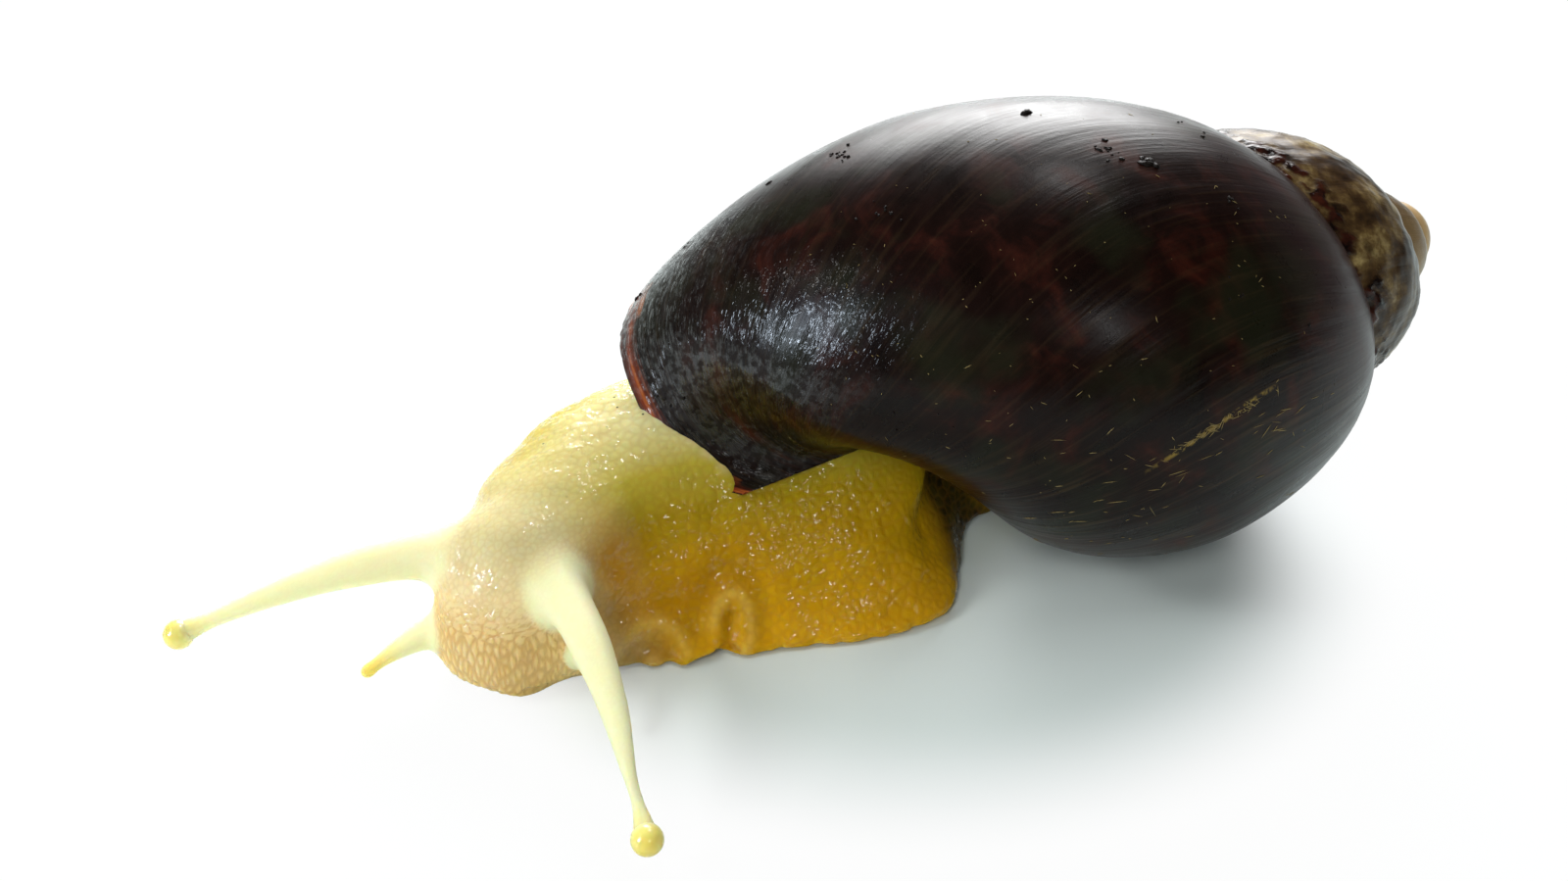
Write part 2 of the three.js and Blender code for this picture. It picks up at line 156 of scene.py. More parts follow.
def set_points(mesh, points):
    mesh.vertices.foreach_set("co", ((points + SHIFT) * MM).ravel())
    mesh.update()


def put(mesh, name, values):
    """keeps a number or a vector for each point, for the materials"""
    values = np.asarray(values, dtype=float)
    if values.ndim == 1:
        mesh.attributes.new(name, "FLOAT", "POINT").data.foreach_set("value", values)
    else:
        mesh.attributes.new(name, "FLOAT_VECTOR", "POINT").data.foreach_set("vector", values.ravel())


def capped(rings):
    """a closed mesh of triangles through rings of equal length, with a fan over each end"""
    rows, cols = rings.shape[:2]
    points = rings.reshape(-1, 3)
    this, after = np.arange(cols), (np.arange(cols) + 1) % cols
    low = np.arange(rows - 1)[:, None] * cols
    high = low + cols
    quads = np.stack([low + this, low + after, high + after, high + this], -1).reshape(-1, 4)
    first, last = np.full(cols, len(points)), np.full(cols, len(points) + 1)
    end = (rows - 1) * cols
    triangles = np.concatenate([quads[:, [0, 1, 2]], quads[:, [0, 2, 3]], np.stack([after, this, first], -1),
                                np.stack([end + this, end + after, last], -1)])
    return np.concatenate([points, [rings[0].mean(0), rings[-1].mean(0)]]), triangles


def joined(pieces):
    """several meshes, each with its points and faces, as one"""
    starts = np.cumsum([0] + [len(points) for points, _ in pieces])
    return (np.concatenate([points for points, _ in pieces]),
            np.concatenate([faces + start for (_, faces), start in zip(pieces, starts)]))


def ball_mesh(centre, radius, rows=22, cols=32):
    lat = np.linspace(0.03, math.pi - 0.03, rows)[:, None]
    lon = np.linspace(0, 2 * math.pi, cols, endpoint=False)[None]
    p = np.stack([np.sin(lat) * np.cos(lon), np.sin(lat) * np.sin(lon), np.cos(lat) + 0 * lon], -1) * radius
    return capped(p[::-1] + np.array(centre))


def finder_of(points):
    """what finds the nearest of the points"""
    finder = kdtree.KDTree(len(points))
    for i, q in enumerate(points):
        finder.insert(q, i)
    finder.balance()
    return finder


def nearest(points, others, limit):
    """distance from each point to the others, no more than limit"""
    finder = finder_of(others)
    return np.fromiter((min(finder.find(q)[2], limit) for q in points), float, len(points))


def to_line(points, line):
    """distance from each point to a line through the given corners, in as many axes as these have"""
    line = np.asarray(line, float)
    best = np.full(len(points), np.inf)
    for a, b in zip(line[:-1], line[1:]):
        along = b - a
        share = np.clip((points - a) @ along / (along @ along), 0, 1)
        best = np.minimum(best, np.linalg.norm(points - a - share[:, None] * along, axis=1))
    return best


def waves(p, seed, scale, octaves):
    """smooth noise between about -1 and 1: a sum of sines in random directions"""
    r = np.random.default_rng(seed)
    total = np.zeros(len(p))
    weight = 0
    for k in range(octaves):
        for _ in range(5):
            d = unit(r.normal(size=p.shape[1]))
            total += np.sin(p @ d * (2 * math.pi / scale) * 2 ** k + r.uniform(0, 6.28)) * 0.6 ** k
        weight += 0.6 ** k
    return total / (2.2 * weight)


def line_noise(x, seed, count):
    """smooth random curve of x, with about count bumps over one unit"""
    knots = np.random.default_rng(seed).uniform(-1, 1, 4096)
    k = np.floor(x * count).astype(int)
    f = step(x * count - k, 0, 1)
    return knots[k % 4096] * (1 - f) + knots[(k + 1) % 4096] * f


# ---------------------------------------------------------------- shell
def shell_matrix():
    roll, pitch, yaw = (math.radians(SHELL_POSE[k]) for k in ("roll", "pitch", "yaw"))
    turn = Matrix.Rotation(yaw, 3, "Z") @ Matrix.Rotation(pitch, 3, "Y") @ Matrix.Rotation(roll, 3, "X")
    return np.array(turn @ Matrix(((0, 0, -1), (1, 0, 0), (0, -1, 0))))


SHELL_TURN = shell_matrix()


def in_place(local):
    return local @ SHELL_TURN.T + np.array(SHELL_POSE["apex"])


def whorl(turn, angle, grown=0.0, clear=0.2):
    """points of the coiled tube, its size next to that at the lip, and how far down the section they lie"""
    s = SHELL
    turn, angle = np.broadcast_arrays(np.asarray(turn, float), np.asarray(angle, float))
    size = np.exp(s["growth"] * turn + s["late"] * (np.exp(2 * turn) - 1))
    age = np.log(size) / s["growth"]
    full = 1 + s["swell"] * bell(age, s["swell_at"], s["swell_span"]) + s["lip_swell"] * bell(
        age, s["lip_at"], s["lip_span"])
    long = size ** s["down_power"]
    tilt = s["lip_turn"] * np.exp(s["lip_rate"] * age)
    c, n = np.cos(angle), np.sin(angle)
    corner = np.where((n > 0) & (c < 0), s["square"] * np.exp(s["square_rate"] * age), 0)
    power = 2 / (s["round"] + corner)
    across = np.sign(c) * np.abs(c) ** power
    along = np.sign(n) * np.abs(n) ** power
    added = grown + sum(height * bell(age, at, span) * bell(angle, side, width)
                        for height, at, span, side, width in SWELLINGS)
    u = (s["radial"] * size * full * np.where(across < 0, s["inner_side"], 1) + added) * across
    v = (s["axial"] * long * np.where(along < 0, s["apex_side"], 1) + added) * along
    r = s["out"] * size ** s["out_power"] * full + u * np.cos(tilt) - v * np.sin(tilt)
    drop = u * np.sin(tilt) + v * np.cos(tilt)
    share = drop / (s["axial"] * long)
    azimuth = 2 * math.pi * turn + s["lean"] * share + s["lean_bend"] * share ** 2
    reach = np.maximum(r, clear)
    local = np.stack([reach * np.cos(azimuth), reach * np.sin(azimuth), s["down"] * long + drop], -1)
    return in_place(local), size, share


def growth_relief(turn, share, size):
    """height of the growth lines: uneven ridges that run parallel to the lip"""
    x = turn + 0.0015 * np.sin(9 * share)
    fine = line_noise(x, 1, 190) * 0.5 + line_noise(x, 2, 90) + 0.9 * line_noise(x, 3, 34)
    rests = -np.clip(line_noise(x, 4, 22) - 0.72, 0, 1) * 6
    return (0.04 * fine + 0.06 * rests) * np.sqrt(size)


def lip_edge(turn, angle):
    """how far the ragged lip falls short of its full length, in whorls"""
    around = angle / (2 * math.pi)
    ragged = 0.0016 * line_noise(around, 11, 50) + 0.0012 * line_noise(around, 12, 170)
    return ragged * step(turn, -0.03, 0.0) - 0.001


def outward(p):
    """unit normals of a grid of points whose rows are rings of the tube"""
    ahead = np.gradient(p, axis=0)
    around = np.roll(p, -1, axis=1) - np.roll(p, 1, axis=1)
    return unit(np.cross(ahead, around))


# Where the coil's lengths start and end, and their share of the rows and columns.
COILS = ((-1.0, 0.0, 1.0, 1.0), (-2.0, -0.97, 0.5, 0.8), (-SHELL["turns"], -1.97, 0.36, 0.55))
# The tube sinks into the dome at the apex: by how much, and over which whorls.
APEX_SINK, APEX_SPAN = -1.3, (-3.1, -3.38)
# The lip turns over its edge and runs back inside: whorls back from the edge, and depth.
LIP_TURN = ((0.0, 0.3), (-0.001, 0.6), (-0.003, 0.85), (-0.008, 1.0), (-0.02, 1.2), (-0.05, 1.2), (-0.1, 1.2),
            (-0.17, 1.2))


def with_ends(grid):
    """the values of a grid's points, then those of the middles of its two ends"""
    flat = grid.ravel()
    return np.concatenate([flat, flat[:1], flat[-1:]])


def coil_parts():
    """the last whorl, the middle and the upper ones: points, turn, angle, share of the section, size, seam"""
    spans = []
    for first, last, row_share, col_share in COILS:
        a = np.linspace(0, 1, int(SHELL_COLUMNS * col_share), endpoint=False)
        angles = 2 * math.pi * (a + 0.035 * np.sin(2 * math.pi * a))
        t, g = np.meshgrid(np.linspace(first, last, int(SHELL_ROWS * row_share)), angles, indexing="ij")
        edge = lip_edge(t, g) if last == 0.0 else 0.0
        p, size, share = whorl(t + edge, g, APEX_SINK * step(t, *APEX_SPAN))
        spans.append((p, t, g, share, size))

    # the seam is where each whorl lies on the one before; on the last whorl every second point is measured
    body, middle, upper = (span[0] for span in spans)
    coarse = body[::2, ::2]
    seams = [nearest(p.reshape(-1, 3), below.reshape(-1, 3), NEAR_SEAM).reshape(p.shape[:2])
             for p, below in ((middle, body[::3, ::2]), (upper, middle[::3, ::2]))]
    open_middle = middle[seams[0] > 0.9]
    on_body = nearest(coarse.reshape(-1, 3), open_middle[::3], FAR_SEAM).reshape(coarse.shape[:2])
    on_body = on_body.repeat(2, 0).repeat(2, 1)[:body.shape[0], :body.shape[1]]
    return [(*span, seam) for span, seam in zip(spans, (on_body, *seams))]


def make_shell():
    meshes, stores = [], {"coil": [], "seam": [], "crust": [], "inside": []}

    def store(piece, coil, seam=NEAR_SEAM, crust=0.0, inside=0.0):
        """keeps a piece with its values, each given once or for every point"""
        meshes.append(piece)
        count = len(piece[0])
        stores["coil"].append(np.broadcast_to(coil, (count, 3)))
        for name, values in (("seam", seam), ("crust", crust), ("inside", inside)):
            stores[name].append(np.broadcast_to(values, count))

    for p, t, g, share, size, seam in coil_parts():
        lift = growth_relief(t, share, size)
        crust, inside = np.zeros(t.shape), np.zeros(t.shape)
        is_body = t[-1, 0] == 0.0
        if not is_body:
            flat = p.reshape(-1, 3)
            lumps = waves(flat, 21, 7.0, 3).reshape(t.shape)
            rough = waves(flat, 22, 1.9, 3).reshape(t.shape)
            crust = step(seam, 4.6, 0.8) * step(lumps + 0.5 * rough, -0.35, 0.6) * step(t, -2.3, -1.9)
            lift = lift * 1.5 + 0.16 * lumps * step(t, -2.6, -2.0) + crust * (0.14 + 0.26 * rough)
        p = p + outward(p) * lift[..., None]
        if is_body:
            back, deep = np.array(LIP_TURN).T[..., None]
            inner_t = back + 0 * g[:1]
            q, _, inner_share = whorl(inner_t + lip_edge(inner_t, g[:1]), g[:1], -deep, 1.8)
            p, t, share = (np.concatenate(pair) for pair in ((p, q), (t, inner_t), (share, inner_share)))
            seam = np.concatenate([seam, np.full(inner_t.shape, FAR_SEAM)])
            crust = np.concatenate([crust, np.zeros(inner_t.shape)])
            inside = np.concatenate([inside, np.minimum(1.0, deep) + 0 * inner_t])
        points, triangles = capped(p)
        coil = np.stack([with_ends(t), with_ends(share), 0 * with_ends(t)], -1)
        store((points, triangles[:, ::-1]), coil, with_ends(seam), with_ends(crust), with_ends(inside))

    # a blunt dome closes the apex
    lat = np.linspace(0.02, math.pi - 0.02, 60)[:, None]
    lon = np.linspace(0, 2 * math.pi, 96, endpoint=False)[None]
    flat = SHELL["apex_flat"]
    dome = np.stack([np.sin(lat) * np.cos(lon), np.sin(lat) * np.sin(lon), -np.cos(lat) * flat + 0 * lon], -1)
    dome = dome * SHELL["apex_radius"] + np.array([0, 0, SHELL["apex_tip"] + flat * SHELL["apex_radius"]])
    store(capped(in_place(dome)), (-SHELL["turns"], 0.0, 0.0))
    store(crumbs(), (-0.4, 0.0, 0.0), crust=2.0)
    store(flecks(), (-0.4, 0.0, 0.0), crust=3.0)

    points, triangles = joined(meshes)
    points[:, 2] = np.maximum(points[:, 2], 0.0)
    mesh = to_mesh("shell", points, triangles)
    for name, values in stores.items():
        put(mesh, name, np.concatenate(values))
    return add_object("shell", mesh)


# Crumbs of soil stuck to the shell: whorl, angle along the section, spread and size in mm, how many.
CRUMBS = ((-0.194, 6.11, 0.3, 0.62, 2), (-0.263, 5.97, 0.9, 0.55, 7), (-0.249, 6.06, 1.3, 0.3, 12),
          (-0.099, 0.63, 0.1, 0.5, 1), (-0.14, 0.45, 1.5, 0.26, 12), (-0.012, 1.15, 0.8, 0.3, 5),
          (-0.05, 0.93, 0.5, 0.28, 3), (-0.296, 5.78, 0.8, 0.25, 5), (-0.22, 5.6, 1.2, 0.24, 5),
          (-0.39, 5.75, 0.2, 0.4, 1), (-0.2, 0.62, 1.6, 0.22, 8), (-0.17, 1.0, 2.0, 0.2, 7),
          (-0.35, 6.0, 2.4, 0.18, 6), (-0.03, 1.75, 1.6, 0.24, 9), (-0.3, 1.2, 3.0, 0.16, 6))


def on_shell(turn, angle):
    """a point of the shell with its outward normal and the direction of growth"""
    d = 0.002
    p = whorl(np.array([turn, turn + d, turn]), np.array([angle, angle, angle + d]))[0]
    ahead, around = unit(p[1] - p[0]), unit(p[2] - p[0])
    return p[0], unit(np.cross(ahead, around)), ahead, around


def crumbs():
    r = np.random.default_rng(31)
    ball, faces = ball_mesh((0, 0, 0), 1.0, 7, 9)
    made = []
    for turn, angle, spread, size, count in CRUMBS:
        for _ in range(count):
            at, out, ahead, around = on_shell(turn, angle)
            at = at + ahead * r.normal() * spread + around * r.normal() * spread * 0.6
            radii = size * r.uniform(0.45, 1.25) * np.array([r.uniform(0.8, 1.6), r.uniform(0.7, 1.1), 0.55])
            rough = ball * (1 + 0.35 * waves(ball * 2 + r.uniform(0, 40, 3), 33, 2.2, 2))[:, None] * radii
            spin = r.uniform(0, 6.28)
            long_way = ahead * math.cos(spin) + around * math.sin(spin)
            made.append((at + rough @ np.stack([long_way, np.cross(out, long_way), out]), faces))
    return joined(made)


def flecks():
    """short pale scratches with raised edges, mostly low on the side and along the last rest of growth"""
    r = np.random.default_rng(37)
    made = []
    shape = np.array([(-1, 0, 0), (-0.3, 1, 0), (0.5, 0.8, 0), (1, 0, 0), (0.3, -1, 0), (-0.5, -0.8, 0),
                      (-0.2, 0, 1), (0.3, 0, 1), (0, 0, -2)])
    faces = np.array([(0, 6, 1), (1, 6, 7), (1, 7, 2), (2, 7, 3), (3, 7, 4), (4, 7, 6), (4, 6, 5), (5, 6, 0),
                      (0, 1, 8), (1, 2, 8), (2, 3, 8), (3, 4, 8), (4, 5, 8), (5, 0, 8)])
    # middle and spread of the whorl and of the angle, how many, length in mm, and the usual slant
    for turn, turn_spread, angle, angle_spread, count, length, slant in (
            (-0.44, 0.03, 0.6, 0.3, 26, 0.8, 1.3), (-0.49, 0.04, 0.35, 0.4, 24, 0.6, 1.5),
            (-0.36, 0.05, 0.75, 0.4, 26, 0.35, 0.7), (-0.24, 0.05, 0.9, 0.5, 34, 0.16, 0.2),
            (-0.425, 0.0014, 0.08, 0.13, 70, 0.5, 1.5), (-0.455, 0.016, -0.3, 0.12, 16, 0.8, 1.5),
            (-0.3, 0.07, 0.2, 0.5, 60, 0.14, 0.8), (-0.3, 0.05, 5.9, 0.3, 16, 0.35, 0.1)):
        for _ in range(count):
            at, out, ahead, around = on_shell(r.normal(turn, turn_spread), r.normal(angle, angle_spread))
            spin = r.normal(slant, 0.6)
            long_way = ahead * math.cos(spin) + around * math.sin(spin)
            size = np.array([length * r.uniform(0.3, 1.9), r.uniform(0.025, 0.06), 0.04])
            axes = np.stack([long_way, np.cross(out, long_way), out])
            made.append((at + out * 0.02 + (shape * size) @ axes, faces))
    return joined(made)


# ---------------------------------------------------------------- body
def catmull(p0, p1, p2, p3, t):
    """a smooth curve from p1 to p2"""
    enter, leave = (p2 - p0) / 2, (p3 - p1) / 2
    return p1 + t * (enter + t * (3 * (p2 - p1) - 2 * enter - leave + t * (2 * (p1 - p2) + enter + leave)))


def station(at):
    """the section at a place along the body, counted in stations"""
    last = len(STATIONS) - 1
    k = min(int(at), last - 1)
    pick = [STATIONS[min(max(i, 0), last)] for i in (k - 1, k, k + 1, k + 2)]
    return catmull(*pick, at - k)


def body_ring(at, per_span):
    """a closed line round the body at one place"""
    x, y, turn, sole, rim, girth, waist, crown, lean, peak = station(at)
    half = [(0, 0, 0), (sole, 0, 0), (rim, FOOT_EDGE, 0),
            (0.68 * rim + 0.32 * girth, max(0.32 * waist, FOOT_EDGE * 1.6), 0.3 * lean),
            (girth, waist, lean), (0.76 * girth, waist + 0.7 * (crown - waist), peak), (0, crown, peak)]
    left = [(l + o, u) for o, u, l in half]
    right = [(l - o, u) for o, u, l in half[-2:0:-1]]
    knots = np.array(left + right)
    t = np.arange(per_span)[None, :, None] / per_span
    roll = [np.roll(knots, s, axis=0)[:, None] for s in (1, 0, -1, -2)]
    loop = catmull(*roll, t).reshape(-1, 2)
    ends = min(at / TAIL_CLOSE, (len(STATIONS) - 1 - at) / SNOUT_CLOSE, 1)
    shrink = max(math.sqrt(max(1 - (1 - ends) ** 2, 0)), 0.04)
    middle = 0 if at < len(STATIONS) / 2 else waist * 0.8
    a = math.radians(turn)
    side = loop[:, 0] * shrink
    height = middle + (np.maximum(loop[:, 1], 0) - middle) * shrink
    return np.stack([x + side * math.sin(a), y - side * math.cos(a), height], -1)


def body_loft():
    last = len(STATIONS) - 1
    ats = np.concatenate([
        TAIL_CLOSE * (1 - np.cos(np.linspace(0, math.pi / 2, 14))),
        np.linspace(TAIL_CLOSE, last - SNOUT_CLOSE, 230)[1:],
        last - SNOUT_CLOSE * np.cos(np.linspace(0, math.pi / 2 * 0.98, 40))[1:]])
    return np.stack([body_ring(float(a), 9) for a in ats]), ats


def on_curve(feeler, t):
    a, b, c = (np.array(p, float) for p in feeler[1:])
    t = np.asarray(t)[..., None]
    return a * (1 - t) ** 2 + 2 * b * t * (1 - t) + c * t * t


def feeler_radius(sizes, t):
    shaft = (sizes["shaft"] - sizes["neck"]) * (1 - t) ** sizes["taper"]
    root = (sizes["root"] - sizes["shaft"]) * np.exp(-t * sizes["fade"])
    return sizes["neck"] + shaft + root + sizes["flare"] * bell(t, 1, FLARE_SPAN)


def along_feeler(p, feeler):
    """distance of points from a feeler's surface, and how far along it they lie"""
    t = np.linspace(0, 1, 60)
    middles = on_curve(feeler, t)
    distance = np.linalg.norm(p[:, None, :] - middles[None], axis=-1) - feeler_radius(feeler[0], t)[None]
    return distance.min(1), t[distance.argmin(1)]


def feeler_loft(name, rows=90, cols=28):
    sizes = FEELERS[name][0]
    t = np.linspace(0, 1, rows)
    p = on_curve(FEELERS[name], t)
    ahead = unit(np.gradient(p, axis=0))
    side = unit(np.cross(np.array([0, 0, 1.0]), ahead))
    over = np.cross(ahead, side)
    a = np.linspace(0, 2 * math.pi, cols, endpoint=False)
    r = feeler_radius(sizes, t)[:, None, None]
    ring = side[:, None] * np.cos(a)[None, :, None] + over[:, None] * np.sin(a)[None, :, None]
    return p[:, None] + r * ring


def remeshed(name, points, faces, size):
    """one even skin of quads round all the pieces of a mesh"""
    raw = add_object(name + "_raw", to_mesh(name + "_raw", points, faces))
    modifier = raw.modifiers.new("Remesh", "REMESH")
    modifier.mode = "VOXEL"
    modifier.voxel_size = size * MM
    ready = raw.evaluated_get(bpy.context.evaluated_depsgraph_get())
    mesh = bpy.data.meshes.new_from_object(ready)
    mesh.name = name
    bpy.data.objects.remove(raw)
    return mesh


def faces_of(mesh):
    corners = np.empty(len(mesh.loops), dtype=np.int64)
    mesh.loops.foreach_get("vertex_index", corners)
    return corners.reshape(-1, 4)


def edges_of(mesh):
    e = np.empty(len(mesh.edges) * 2, dtype=np.int64)
    mesh.edges.foreach_get("vertices", e)
    return e.reshape(-1, 2)


def smoothed(values, edges, rounds, weight=None):
    """values averaged with their neighbours' again and again, in full or by each point's weight"""
    values = np.asarray(values, float).copy()
    n = len(values)
    count = np.bincount(edges.ravel(), minlength=n).astype(float)
    flat = values.reshape(n, -1)
    for _ in range(rounds):
        total = np.stack([np.bincount(edges[:, 0], flat[edges[:, 1], k], n)
                          + np.bincount(edges[:, 1], flat[edges[:, 0], k], n)
                          for k in range(flat.shape[1])], -1)
        mean = total / np.maximum(count, 1)[:, None]
        flat = flat + (mean - flat) * (1 if weight is None else weight[:, None])
    return flat.reshape(values.shape)


def cell_relief(points, spacing, seed, vertex_area):
    """uneven cells over the points: how far each point is from its cell's edge, and a tone for each cell"""
    r = np.random.default_rng(seed)
    keep = r.random(len(points)) < vertex_area / (0.72 * spacing ** 2)
    seeds = points[keep].copy()
    for _ in range(2):
        finder = finder_of(seeds)
        sample = r.random(len(points)) < 0.35
        chosen = points[sample]
        owner = np.fromiter((finder.find(p)[1] for p in chosen), int, len(chosen))
        count = np.bincount(owner, minlength=len(seeds))
        total = np.stack([np.bincount(owner, chosen[:, k], len(seeds)) for k in range(3)], -1)
        good = count > 0
        seeds[good] = total[good] / count[good][:, None]
    finder = finder_of(seeds)
    near = np.empty((len(points), 2))
    owner = np.empty(len(points), int)
    for i, p in enumerate(points):
        found = finder.find_n(p, 2)
        near[i] = found[0][2], found[1][2]
        owner[i] = found[0][1]
    return (near[:, 1] - near[:, 0]) / spacing, r.random(len(seeds))[owner]


def mantle_loft():
    """the mantle's collar, a length of tube just inside the lip"""
    turns = np.linspace(-0.165, -0.022, 26)
    angles = np.linspace(0, 2 * math.pi, 120, endpoint=False)
    t, a = np.meshgrid(turns, angles, indexing="ij")
    return whorl(t, a, -SHELL["wall"] - 0.1, 2.0)[0]


# Folds of the foot's left edge, as lines along the flank (x, z), with their width and depth. A pocket
# gapes behind the head, and further back the edge is tucked up into a hook.
LEFT_FOLDS = (
    (((-25.8, 2.4), (-24.2, 3.6), (-21.8, 3.7), (-20.2, 2.4)), 1.7, 1.1),
    (((-24.6, 1.2), (-23.2, 2.3), (-21.8, 2.3), (-20.6, 1.2)), 1.0, 1.3),
    (((-29.6, 8.2), (-25.6, 9.4), (-21.4, 9.2), (-17.9, 7.2), (-16.4, 3.6)), 2.0, 0.7),
    (((-16.8, 0.0), (-14.8, 0.5), (-12.9, 0.9), (-11.2, 1.2)), 0.8, 1.8),
    (((-12.5, 1.4), (-11.5, 3.2), (-11.1, 5.0)), 1.0, 1.3),
    (((-15.8, 4.4), (-15.2, 7.4), (-13.1, 10.4), (-10.0, 11.2), (-7.0, 9.8), (-5.9, 6.0), (-6.6, 2.6)),
     1.5, 0.65))
# The mouth's slit under the snout, the soft valleys behind the feelers' roots, and the hollow behind the
# left flank, each as a line with its width and depth.
MOUTH = (((-40.2, -22.9, 1.2), (-38.2, -22.3, 1.0), (-36.0, -21.3, 0.6), (-33.6, -20.6, 0.6)), 0.8, 1.3)
VALLEYS = ((((-25.4, -15.4, 15.0), (-25.0, -16.8, 9.6)), 3.6, 0.8),
           (((-42.5, -5.6, 19.0), (-44.8, -3.6, 15.0), (-45.0, -3.0, 10.0)), 3.2, 0.8))
REAR = (((21.8, -8.2, 10.0), (29.0, 3.0, 15.0)), 4.5, 3.2)
# Notches between the lobes of the foot's edge: how far along it, and width, on the left and the right.
LEFT_LOBES = ((-4.6, 0.5), (0.4, 0.7), (4.1, 0.45), (8.8, 0.8), (11.6, 0.4), (15.2, 0.6))
RIGHT_LOBES = ((-22.0, 0.8), (-15.5, 0.6), (-10.3, 0.9), (-2.6, 0.6), (5.2, 0.7), (12.0, 0.8), (18.0, 0.6),
               (30.0, 0.6), (41.0, 0.7), (52.0, 0.5))
# The lung's opening, on the right in the mantle's corner.
LUNG = (50.0, 33.5, 36.0)
# Where shade and light through the flesh are painted a deep amber: behind the left feeler's root, then back
# under the neck's side.
AMBER_SHADE = ((-26.8, -14.0, 16.0), (-24.6, -16.8, 10.0), (-18.0, -16.5, 9.0), (-10.0, -16.0, 12.0))
# Rims of the pocket and of the hook, as lines along the flank (x, z): a painted highlight makes them pale.
LEFT_RIM_HIGHLIGHTS = (((-25.8, 5.3), (-24.0, 6.2), (-21.4, 6.3), (-19.2, 4.8), (-18.0, 2.2)),
             ((-13.8, 4.6), (-13.0, 6.6), (-11.4, 8.0), (-9.6, 7.8), (-8.5, 6.0), (-8.5, 3.0), (-9.6, 1.4)))


def on_left(p):
    """1 on the left flank behind the head, 0 elsewhere"""
    return step(p[:, 1], -9.0, -12.0) * step(p[:, 0], -31.0, -28.5)


def carved(p, n):
    """the skin's larger folds, all cut inwards"""
    inward = unit(-n * np.array([1, 1, 0.35]))
    depth = np.zeros(len(p))
    for line, width, deep in LEFT_FOLDS:
        depth += on_left(p) * deep * bell(to_line(p[:, [0, 2]], line), 0, width)
    for line, width, deep in (MOUTH, *VALLEYS, REAR):
        depth += deep * bell(to_line(p, line), 0, width)
    for lobes, there in ((LEFT_LOBES, p[:, 1] < -8), (RIGHT_LOBES, p[:, 1] > 8)):
        for x, width in lobes:
            depth += there * 0.35 * bell(p[:, 0] + 0.15 * p[:, 2], x, width) * step(p[:, 2], 3.2, 1.0)
    return p + inward * depth[:, None]


